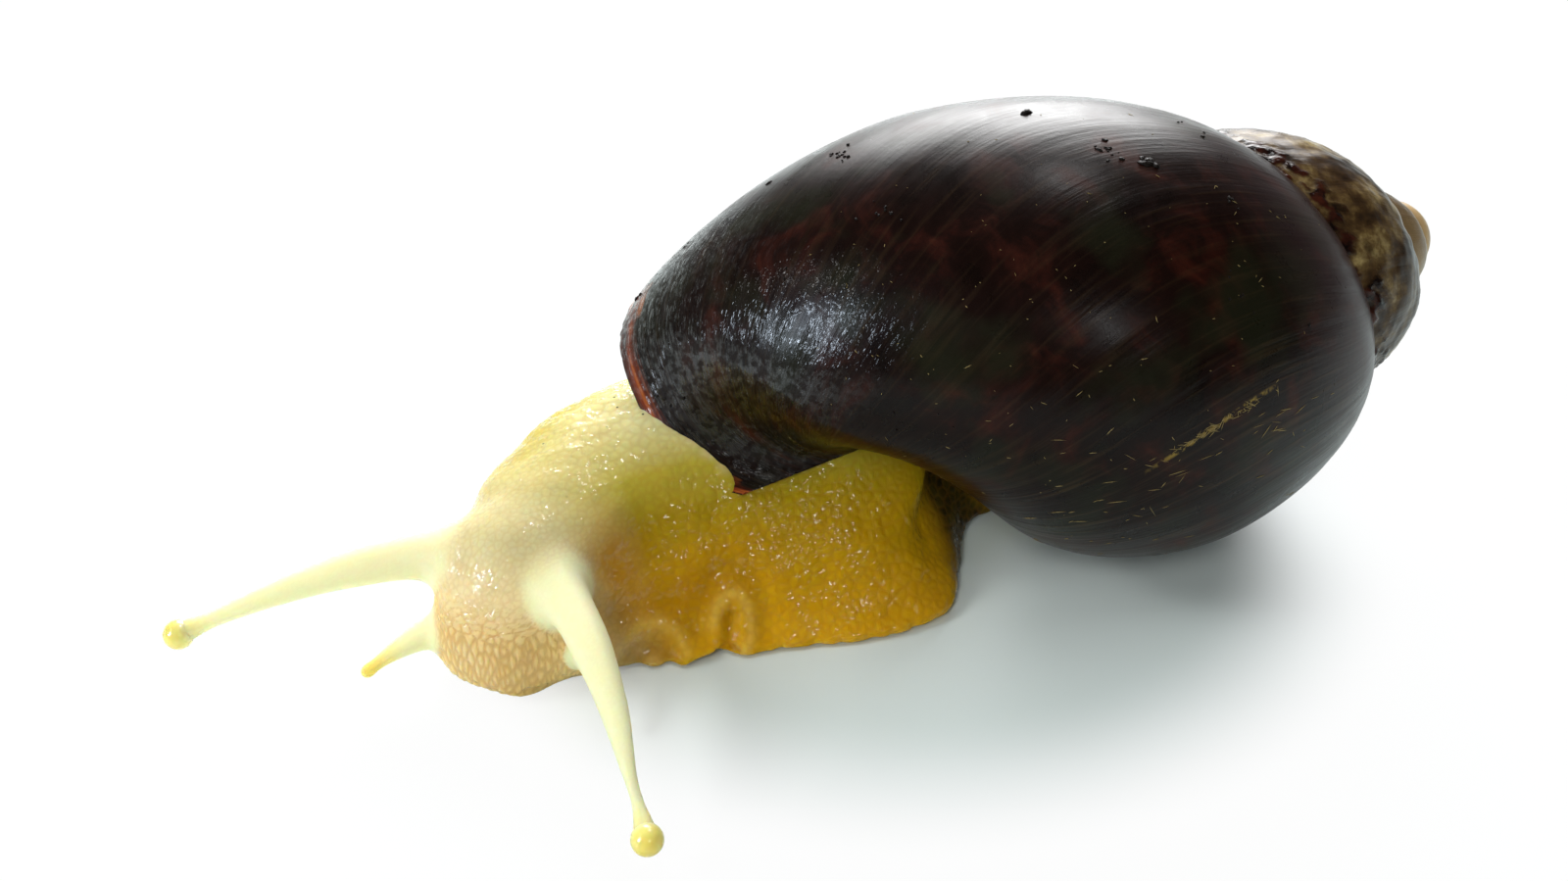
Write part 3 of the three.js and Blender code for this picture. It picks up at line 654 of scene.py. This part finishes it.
def make_skin():
    rings, ats = body_loft()
    pieces = [capped(rings), capped(mantle_loft())]
    pieces += [capped(feeler_loft(name)) for name in FEELERS]
    for name in ("lower_left", "lower_right"):
        pieces.append(ball_mesh(FEELERS[name][3], FEELERS[name][0]["bulb"]))

    # a first skin is softened where the feelers grow out of the head, and its folds are cut
    rough = remeshed("skin_rough", *joined(pieces), 1.3 * SKIN_CELL)
    edges = edges_of(rough)
    p = points_of(rough)
    root = np.zeros(len(p))
    for feeler in FEELERS.values():
        distance, t = along_feeler(p, feeler)
        root = np.maximum(root, step(distance, 6.5, 1.0) * step(t, 0.5, 0.2))
    p = smoothed(p, edges, 80, weight=root)
    p = smoothed(p, edges, 4)
    set_points(rough, p)
    p = carved(p, smoothed(normals_of(rough), edges, 12))
    mesh = remeshed("skin", p, faces_of(rough), SKIN_CELL)
    bpy.data.meshes.remove(rough)
    edges = edges_of(mesh)
    p = smoothed(points_of(mesh), edges, 3)
    set_points(mesh, p)
    n = normals_of(mesh)

    # where each point lies along the body, and whether it is on a feeler
    finder = finder_of(rings.reshape(-1, 3))
    near = np.fromiter((finder.find(q)[1] for q in p), int, len(p))
    at = smoothed(np.repeat(ats, rings.shape[1])[near], edges, 10)
    on_feeler, tip = np.zeros(len(p)), np.zeros(len(p))
    for name, feeler in FEELERS.items():
        distance, t = along_feeler(p, feeler)
        here_too = step(distance, 1.8, 0.3)
        on_feeler = np.maximum(on_feeler, here_too * step(t, 0.0, 0.2))
        warm = step(t, 0.6, 1.0) if name.startswith("lower") else 0.6 * step(t, 0.9, 1.0)
        tip = np.maximum(tip, here_too * warm)
        bulb = np.linalg.norm(p - feeler[3], axis=1) - feeler[0]["bulb"]
        on_feeler = np.maximum(on_feeler, step(bulb, 1.5, 0.5))
    mantle = step(nearest(p, mantle_loft().reshape(-1, 3)[::2], 4.0), 2.2, 0.6) * step(at, 9.5, 8.5)

    # granules: long ones on the snout, small ones on the head, low wide ones on the flank, none on feelers
    snout = step(at, 11.8, 12.8) * step(p[:, 2], 16.0, 10.0) * (1 - on_feeler)
    warp = p * np.stack([1 + 0.05 * snout, 1 + 0.05 * snout, 1 - 0.6 * snout], -1)
    spacing = 2.15 - 0.75 * step(at, 8.6, 11.2) + 0.7 * snout - 0.6 * on_feeler
    relief, tone = cell_relief(warp, spacing, 5, SKIN_CELL ** 2)
    dome = step(relief, 0.0, 0.55 - 0.15 * snout)
    height = 0.076 - 0.03 * step(at, 8.5, 11.0) + 0.13 * snout - 0.03 * step(p[:, 2], 17.0, 24.0)
    height = height * (1 - 0.85 * on_feeler) * (1 - 0.8 * mantle) * step(p[:, 2], 0.2, 1.4)
    wide = waves(p, 8, 11.0, 2) * 0.16
    wide += waves(p * (1, 1, 0.3), 9, 4.5, 2) * 0.09 * (1 - step(at, 9.0, 11.0))
    shift = (dome - 1.0) * height + np.minimum(wide - 0.12, 0.0) * (1 - on_feeler)
    lung = np.linalg.norm((p - LUNG) * (1, 1, 0.8), axis=1)
    shift -= 2.2 * bell(lung, 0, 2.0) - 0.35 * bell(lung, 3.4, 1.1)
    p = p + n * shift[:, None]
    p[:, 2] = np.maximum(p[:, 2], 0.0)
    set_points(mesh, p)

    # what the material needs to know of each point
    left, side = on_left(p), p[:, [0, 2]]
    # painted shade: how near each point lies to a fold's hollow, the mouth's slit, the amber valley or the
    # lung's opening
    fold_shades = [left * min(deep / 2.2, 1.0) * bell(to_line(side, line), 0, width)
             for line, width, deep in LEFT_FOLDS]
    fold_shades += [bell(to_line(p, MOUTH[0]), 0, 1.3), bell(to_line(p, AMBER_SHADE), 0, 5.0), bell(lung, 0, 1.8)]
    # painted highlight along the rims of the pocket and the hook
    rim_highlights = left * np.max([bell(to_line(side, line), 0, 0.8) for line in LEFT_RIM_HIGHLIGHTS], axis=0)
    kept = dict(rim=rim_highlights, at=at, groove=dome, tone=tone, feeler=on_feeler, tip=tip, mantle=mantle,
                fold_shade=np.max(fold_shades, axis=0), snout=snout, place=p)
    for name, values in kept.items():
        put(mesh, name, values)
    return add_object("skin", mesh)


def make_eye(name, side):
    feeler = FEELERS[side]
    centre, radius = np.array(feeler[3]), UPPER["bulb"] * 0.985
    points, faces = ball_mesh(centre, radius, 48, 64)
    mesh = to_mesh(name, points, faces)
    ahead = unit(centre - on_curve(feeler, np.array([0.96]))[0])
    put(mesh, "ahead", (points - centre) @ ahead / radius)
    # how far down the bulb each point lies, for its painted shade
    put(mesh, "low", (centre[2] - points[:, 2]) / radius)
    return add_object(name, mesh)


# ---------------------------------------------------------------- materials
def screen(color):
    """a colour written as screen values from 0 to 255, as Blender wants it"""
    return (*(((c / 255 + 0.055) / 1.055) ** 2.4 if c > 10 else c / 255 / 12.92 for c in color), 1)


def fill(made, inputs):
    """sets a node's inputs, each to a plain value or joined to a socket"""
    for key, value in inputs.items():
        if hasattr(value, "links"):
            tree.links.new(value, made.inputs[key])
        else:
            made.inputs[key].default_value = value


def node(kind, inputs=None, **settings):
    """a new node in the tree in hand"""
    made = tree.nodes.new(kind)
    for key, value in settings.items():
        setattr(made, key, value)
    fill(made, inputs or {})
    return made


def new_material(name):
    """a material and its shader, with its node tree taken in hand"""
    global tree
    material = bpy.data.materials.new(name)
    material.use_nodes = True
    tree = material.node_tree
    tree.nodes.clear()
    shader = node("ShaderNodeBsdfPrincipled")
    node("ShaderNodeOutputMaterial", {0: shader.outputs[0]})
    return material, shader


def attribute(name, output="Fac"):
    return node("ShaderNodeAttribute", attribute_name=name).outputs[output]


def ramp(factor, stops):
    """a run of screen colours, each with its place"""
    made = node("ShaderNodeValToRGB", {"Fac": factor})
    elements = made.color_ramp.elements
    while len(elements) < len(stops):
        elements.new(0.5)
    for element, (position, color) in zip(elements, stops):
        element.position = position
        element.color = screen(color)
    return made.outputs["Color"]


def mix(factor, a, b):
    """from colour a to colour b, each a socket or a screen colour"""
    a, b = (screen(value) if isinstance(value, tuple) else value for value in (a, b))
    return node("ShaderNodeMix", {0: factor, 6: a, 7: b}, data_type="RGBA").outputs[2]


def mix_value(factor, a, b):
    return node("ShaderNodeMix", {0: factor, 2: a, 3: b}, data_type="FLOAT").outputs[0]


def maths(operation, a, b=0.0):
    return node("ShaderNodeMath", {0: a, 1: b}, operation=operation).outputs[0]


def noise(vector, scale, detail, roughness=0.55, output="Fac"):
    return node("ShaderNodeTexNoise", {"Vector": vector, "Scale": scale, "Detail": detail,
                                       "Roughness": roughness}).outputs[output]


def stretched(vector, scale):
    return node("ShaderNodeVectorMath", {0: vector, 1: scale}, operation="MULTIPLY").outputs[0]


def bump(height, strength, distance, normal=None):
    inputs = {"Height": height, "Strength": strength, "Distance": distance}
    if normal is not None:
        inputs["Normal"] = normal
    return node("ShaderNodeBump", inputs).outputs[0]


def rise(value, start, end, low=0.0, high=1.0):
    """a value mapped from the range start..end to low..high and held there"""
    return node("ShaderNodeMapRange", {"Value": value, "From Min": start, "From Max": end,
                                       "To Min": low, "To Max": high}).outputs[0]


def times(*values):
    total = values[0]
    for value in values[1:]:
        total = maths("MULTIPLY", total, value)
    return total


def shell_material():
    material, shader = new_material("shell")
    coil = attribute("coil", "Vector")
    crust, seam, inside = (attribute(name) for name in ("crust", "seam", "inside"))
    place = node("ShaderNodeTexCoord").outputs["Object"]
    split = node("ShaderNodeSeparateXYZ", {"Vector": coil})
    turn, share = split.outputs["X"], split.outputs["Y"]

    # the last whorl: near black, with soft flames of red, orange and olive
    flames = stretched(coil, (26.0, 4.6, 0.0))
    swirl = stretched(noise(place, 70.0, 2.0, 0.5, "Color"), (2.2, 2.2, 2.2))
    warped = node("ShaderNodeVectorMath", {0: flames, 1: swirl}, operation="ADD").outputs[0]
    cloud = noise(warped, 1.0, 4.0, 0.62)
    base = ramp(cloud, [(0.35, (14, 6, 4)), (0.52, (22, 8, 5)), (0.62, (38, 13, 7)),
                        (0.72, (54, 21, 11)), (0.84, (92, 38, 16))])
    olive = rise(noise(place, 70.0, 3.0), 0.5, 0.64)
    base = mix(times(olive, 0.8), base, (26, 27, 15))
    lines = noise(stretched(coil, (260.0, 2.0, 0.0)), 1.0, 3.0)
    near_rim = rise(turn, -0.36, -0.46, 0.1, 0.3)
    base = mix(times(rise(lines, 0.52, 0.7), near_rim), base, (86, 66, 42))
    # dust in the seam's corner and a paler edge along it
    base = mix(times(rise(seam, 15.0, 2.0), rise(turn, -0.2, -0.4, 0.1, 0.5)), base, (86, 66, 68))
    base = mix(times(rise(seam, 1.6, 0.3), rise(turn, -0.2, -0.4, 0.0, 0.6)), base, (112, 96, 84))

    # the spire is paler and duller
    spire = rise(turn, -0.985, -1.01)
    blotch = noise(place, 170.0, 5.0, 0.65)
    pale = ramp(blotch, [(0.36, (34, 22, 12)), (0.47, (62, 44, 24)), (0.57, (98, 78, 46)),
                         (0.7, (160, 140, 92))])
    fine_lines = noise(stretched(coil, (120.0, 2.5, 0.0)), 1.0, 3.0)
    pale = mix(rise(fine_lines, 0.5, 0.75, 0.0, 0.5), pale, (62, 46, 32))
    base = mix(spire, base, pale)
    base = mix(times(rise(crust, 0.15, 0.75), spire), base,
               ramp(noise(place, 420.0, 3.0), [(0.42, (18, 10, 8)), (0.66, (60, 26, 16))]))
    tip = rise(turn, -2.15, -2.8)
    base = mix(times(tip, rise(blotch, 0.3, 0.6, 1.0, 0.6)), base, (214, 180, 130))

    # the lip is thin and lets light through; its very edge is dark
    streak = noise(stretched(coil, (60.0, 9.0, 0.0)), 1.0, 3.0)
    width = rise(streak, 0.3, 0.7, 0.35, 1.3)
    near_lip = rise(maths("DIVIDE", turn, width), -0.03, -0.006)
    amber = ramp(streak, [(0.36, (60, 18, 8)), (0.5, (136, 52, 14)), (0.68, (206, 116, 44))])
    base = mix(times(near_lip, 0.85), base, amber)
    base = mix(rise(turn, -0.0022, -0.0010), base, (44, 20, 12))
    base = mix(rise(inside, 0.55, 0.95), base,
               mix(rise(turn, -0.03, -0.006), (206, 194, 182), (120, 70, 40)))

    # a line where growth once rested, worn to the pale layer below
    rest = maths("ADD", turn, times(share, 0.012))
    worn = times(rise(maths("ABSOLUTE", maths("ADD", rest, 0.4235)), 0.0022, 0.0006),
                 rise(maths("ABSOLUTE", maths("ADD", share, -0.04)), 0.36, 0.2),
                 rise(noise(place, 1300.0, 3.0), 0.46, 0.56))
    base = mix(times(worn, 0.7), base, (160, 132, 58))
    # crumbs of soil and pale scratches
    base = mix(rise(crust, 1.5, 1.9), base, (20, 15, 11))
    base = mix(rise(crust, 2.5, 2.9), base, (150, 132, 86))

    dull = rise(cloud, 0.35, 0.7, 0.26, 0.36)
    rough = mix_value(spire, dull, 0.3)
    rough = mix_value(times(rise(crust, 0.2, 0.8), spire), rough, 0.14)
    rough = mix_value(rise(crust, 1.5, 1.9), rough, 0.5)

    # growth lines all over, and a wet, grainy film near the lip
    normal = bump(lines, 0.4, 0.00014)
    grains = noise(stretched(coil, (300.0, 30.0, 0.0)), 1.0, 2.0, 0.6)
    wet = times(rise(turn, -0.27, -0.2), rise(share, 0.6, 0.8))
    film = times(wet, rise(noise(place, 900.0, 2.0), 0.42, 0.58, 0.0, 0.6))
    fill(shader, {"Base Color": base, "Roughness": rough, "Specular IOR Level": 0.12,
                  "Normal": bump(grains, 0.15, 0.00012, normal), "Coat Weight": film,
                  "Coat Roughness": 0.07, "Coat Normal": bump(grains, 1.0, 0.00022)})
    return material


def skin_material():
    material, shader = new_material("skin")
    place = node("ShaderNodeTexCoord").outputs["Object"]
    names = ("at", "groove", "tone", "feeler", "fold_shade", "mantle", "snout", "rim", "tip")
    at, groove, tone, feeler, fold_shade, mantle, snout, rim, tip = (attribute(name) for name in names)
    split = node("ShaderNodeSeparateXYZ", {"Vector": attribute("place", "Vector")})
    y, z = split.outputs["Y"], split.outputs["Z"]
    cloud = noise(place, 130.0, 4.0)

    flank = ramp(rise(z, 0.0, 28.0), [(0.0, (222, 168, 20)), (0.2, (214, 162, 6)),
                                      (0.5, (190, 150, 2)), (0.66, (172, 148, 14)),
                                      (0.84, (192, 180, 66)), (0.97, (226, 222, 164))])
    head = ramp(rise(z, 1.0, 24.0), [(0.0, (252, 218, 150)), (0.4, (244, 214, 150)),
                                     (0.65, (246, 229, 179)), (0.9, (220, 213, 164))])
    base = mix(rise(at, 9.2, 11.2), flank, head)
    base = mix(times(rise(cloud, 0.35, 0.7), 0.25), base, mix(0.6, base, (190, 126, 30)))
    # painted shade: folds, the mouth's slit, the lung's opening and the valley behind the left feeler are
    # darkened to a deep amber, standing in for shade and light through the flesh
    base = mix(times(fold_shade, 0.95), base, (186, 130, 0))
    # painted highlight: the rims of the pocket and the hook are lightened
    base = mix(times(rim, 0.6), base, (234, 194, 84))
    # painted shade: the hollow under the shell, behind the left flank, is darkened where the shell's shadow
    # falls
    base = mix(times(rise(at, 5.0, 4.5), rise(at, 1.4, 2.6), rise(y, 9.0, 4.0)), base, (44, 36, 14))
    base = mix(feeler, base, (255, 252, 204))
    base = mix(times(mantle, rise(z, 20.0, 24.0, 0.2, 0.9)), base, (222, 200, 142))
    # painted shade: the valleys between granules are darkened, on the snout as well
    base = mix(times(rise(groove, 0.6, 0.0), rise(feeler, 0.0, 1.0, 0.2, 0.04)), base,
               mix(0.8, base, (176, 122, 44)))
    base = mix(times(snout, rise(groove, 0.7, 0.0), 0.4), base, (200, 150, 84))
    base = mix(times(tone, 0.05), base, (240, 206, 60))
    base = mix(tip, base, (255, 222, 124))

    # specks of soil on the neck's back and small grey spots on the feelers
    spots = node("ShaderNodeTexVoronoi", {"Vector": place, "Scale": 560.0})
    rare = node("ShaderNodeSeparateXYZ", {"Vector": spots.outputs["Color"]})
    speck = times(rise(spots.outputs["Distance"], 0.13, 0.09), rise(rare.outputs["X"], 0.7, 0.72),
                  rise(z, 22.0, 24.0), rise(at, 8.1, 8.5), rise(at, 10.6, 9.4))
    base = mix(speck, base, (40, 28, 14))
    grey = node("ShaderNodeTexVoronoi", {"Vector": place, "Scale": 190.0})
    few = node("ShaderNodeSeparateXYZ", {"Vector": grey.outputs["Color"]})
    spot = times(rise(grey.outputs["Distance"], 0.09, 0.04), rise(few.outputs["Y"], 0.55, 0.6), feeler)
    base = mix(times(spot, 0.6), base, (132, 128, 84))

    # drops of wet film glint on the granules, small ones everywhere and larger ones on the head and neck
    pearls = node("ShaderNodeTexVoronoi", {"Vector": place, "Scale": 1500.0}, feature="SMOOTH_F1")
    pearl, patches = pearls.outputs["Distance"], noise(place, 420.0, 2.0)
    smooth = rise(feeler, 0.0, 1.0, 1.0, 0.12)
    height = times(rise(pearl, 0.0, 0.7, 1.0, 0.0), smooth, rise(patches, 0.4, 0.62))
    drops = times(rise(pearl, 0.6, 0.4), rise(patches, 0.44, 0.54))
    large = times(rise(groove, 0.75, 1.0), rise(tone, 0.5, 0.6), rise(at, 8.6, 9.6))
    wet = times(maths("MAXIMUM", drops, large), smooth)
    fill(shader, {"Base Color": base, "Roughness": 0.42, "Specular IOR Level": 0.06,
                  "Subsurface Weight": 0.6, "Subsurface Radius": (1.0, 0.6, 0.22), "Subsurface Scale": 0.0035,
                  "Normal": bump(height, 0.4, 0.0001), "Coat Weight": rise(wet, 0.0, 1.0, 0.03, 1.0),
                  "Coat Roughness": 0.08, "Coat Normal": bump(height, 1.0, 0.0001)})
    return material


def eye_material():
    material, shader = new_material("eye")
    ahead, low = attribute("ahead"), attribute("low")
    base = ramp(rise(ahead, -0.9, 0.9), [(0.0, (255, 250, 190)), (0.35, (255, 240, 140)),
                                         (1.0, (255, 228, 104))])
    # painted shade: the bulb's underside is a deeper yellow
    base = mix(rise(low, 0.0, 1.0, 0.0, 0.8), base, (255, 206, 60))
    fill(shader, {"Base Color": base, "Roughness": 0.28, "Subsurface Weight": 0.4,
                  "Subsurface Radius": (1.0, 0.6, 0.2), "Subsurface Scale": 0.002,
                  "Coat Weight": 0.6, "Coat Roughness": 0.08})
    return material


# ---------------------------------------------------------------- the animal
shell = make_shell()
shell.data.materials.append(shell_material())
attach(shell, "root")
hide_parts("shell_body_whorl", "shell_spire", "shell_apex")

skin = make_skin()
skin.data.materials.append(skin_material())
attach(skin, "root")
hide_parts("mantle_collar", "upper_tentacle_left_base", "upper_tentacle_left_end",
            "upper_tentacle_right_base", "upper_tentacle_right_end", "lower_tentacle_left",
            "lower_tentacle_right", "tail", "foot", "neck", "head")

eye_look = eye_material()
for eye_name, side in (("eye_bulb_left", "upper_left"), ("eye_bulb_right", "upper_right")):
    eye = make_eye(eye_name, side)
    eye.data.materials.append(eye_look)
    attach(eye, "root")
    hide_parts("eye_left" if side == "upper_left" else "eye_right")


# ---------------------------------------------------------------- floor, light and camera
FLOOR_HALF = 6.0  # metres
# For the camera only, the floor goes over to white between these distances in metres from the shadow's
# middle, and no further than to this share of white.
WHITE_FROM, WHITE_TO, SHADOW_MIDDLE, MOST_WHITE = 0.037, 0.063, (22, 0, 0), 0.95
# The window: its azimuth and height, the half angles of its bright middle and of its edge, and its strength.
WINDOW = dict(azimuth=16, height=24, middle=7, edge=24, strength=14.0)
CAMERA = dict(at=(-42.21, -198.56, 162.71), heading=12, dip=34.614, lens=39.43, sensor=36)


def here(x, y, z):
    """a place in the sizes' frame, in metres in the solids' frame"""
    return Vector((np.array([x, y, z]) + SHIFT) * MM)


def direction(azimuth, height):
    """a unit vector, from its azimuth from +Y towards +X and its height above the floor in degrees"""
    a, h = math.radians(azimuth), math.radians(height)
    return Vector((math.sin(a) * math.cos(h), math.cos(a) * math.cos(h), math.sin(h)))


floor_mesh = bpy.data.meshes.new("floor")
corners = [(x * FLOOR_HALF, y * FLOOR_HALF, 0) for x, y in ((-1, -1), (1, -1), (1, 1), (-1, 1))]
floor_mesh.from_pydata(corners, [], [(0, 1, 2, 3)])
floor = add_object("floor", floor_mesh)
material, shader = new_material("floor")
fill(shader, {"Base Color": (0.8, 0.91, 0.91, 1), "Roughness": 0.5})
# away from the animal and its shadow the camera sees a nearly white floor
place = node("ShaderNodeTexCoord").outputs["Object"]
apart = node("ShaderNodeVectorMath", {0: place, 1: -here(*SHADOW_MIDDLE)}, operation="ADD").outputs[0]
apart = node("ShaderNodeVectorMath", {0: stretched(apart, (0.85, 1.0, 1.0))}, operation="LENGTH")
outside = node("ShaderNodeMapRange", {"Value": apart.outputs["Value"], "From Min": WHITE_FROM,
                                      "From Max": WHITE_TO}, interpolation_type="SMOOTHSTEP").outputs[0]
fade = times(outside, MOST_WHITE, node("ShaderNodeLightPath").outputs["Is Camera Ray"])
white = node("ShaderNodeEmission", {"Color": (1, 1, 1, 1), "Strength": 1.0})
both = node("ShaderNodeMixShader", {0: fade, 1: shader.outputs[0], 2: white.outputs[0]})
fill(tree.nodes["Material Output"], {0: both.outputs[0]})
floor.data.materials.append(material)

# the camera sees a white world; the animal gets a dim one, a little brighter low behind, with a soft window
world = bpy.data.worlds.new("world")
bpy.context.scene.world = world
world.use_nodes = True
tree = world.node_tree
around = node("ShaderNodeTexCoord").outputs["Generated"]
split = node("ShaderNodeSeparateXYZ", {"Vector": around}).outputs
low_behind = times(rise(split["Y"], 0.1, 0.8), rise(split["Z"], 0.6, 0.2))
towards = direction(WINDOW["azimuth"], WINDOW["height"])
facing = node("ShaderNodeVectorMath", {0: around, 1: towards}, operation="DOT_PRODUCT").outputs["Value"]
edge, middle = (math.cos(math.radians(WINDOW[name])) for name in ("edge", "middle"))
window = rise(facing, edge, middle, 0.0, WINDOW["strength"])
dim = maths("ADD", maths("ADD", times(low_behind, 0.25), 0.05), window)
seen = node("ShaderNodeLightPath").outputs["Is Camera Ray"]
fill(tree.nodes["Background"], {"Color": (1, 1, 1, 1), "Strength": mix_value(seen, dim, 1.0)})


def lamp(name, azimuth, height, distance, size, power, color=(1, 1, 1), glint=False):
    """a lamp of some width and height in metres, some way off in the direction of an azimuth and a height;
    a glint is only seen mirrored in wet places, and every other lamp only lights"""
    data = bpy.data.lights.new(name, "AREA")
    data.shape = "RECTANGLE"
    data.size, data.size_y = size
    data.energy = power
    data.color = color
    obj = bpy.data.objects.new(name, data)
    bpy.context.scene.collection.objects.link(obj)
    away = direction(azimuth, height)
    obj.location = here(10, 0, 20) + away * distance
    obj.rotation_euler = (-away).to_track_quat("-Z", "Y").to_euler()
    obj.visible_camera = False
    obj.visible_glossy, obj.visible_diffuse = glint, not glint
    obj.visible_transmission = not glint


lamp("back", 10, 30, 1.5, (0.8, 0.8), 5.7)
lamp("key", -88, 34, 1.1, (0.3, 0.3), 4.2, (1.0, 0.99, 0.96))
lamp("front", -150, 38, 1.3, (0.5, 0.5), 5.8, (1.0, 0.99, 0.96))
lamp("ceiling", 0, 84, 1.3, (1.2, 1.2), 6.4, (1.0, 1.0, 0.98))
lamp("strip", -108, 24, 1.1, (0.17, 0.5), 9.5, (0.74, 0.86, 1.0), glint=True)
lamp("glint_above", 40, 64, 1.1, (0.17, 0.17), 2.2, glint=True)
lamp("glint_left", -84, 45, 1.1, (0.1, 0.1), 0.5, glint=True)
lamp("glint_front", 166, 36, 1.1, (0.12, 0.12), 1.0, glint=True)

camera_data = bpy.data.cameras.new("camera")
camera_data.lens = CAMERA["lens"]
camera_data.sensor_width = CAMERA["sensor"]
camera_data.clip_start = 0.01
camera = bpy.data.objects.new("camera", camera_data)
bpy.context.scene.collection.objects.link(camera)
camera.location = here(*CAMERA["at"])
look = direction(CAMERA["heading"], -CAMERA["dip"])
camera.rotation_euler = look.to_track_quat("-Z", "Y").to_euler()
bpy.context.scene.camera = camera
bpy.context.scene.view_settings.view_transform = "Standard"
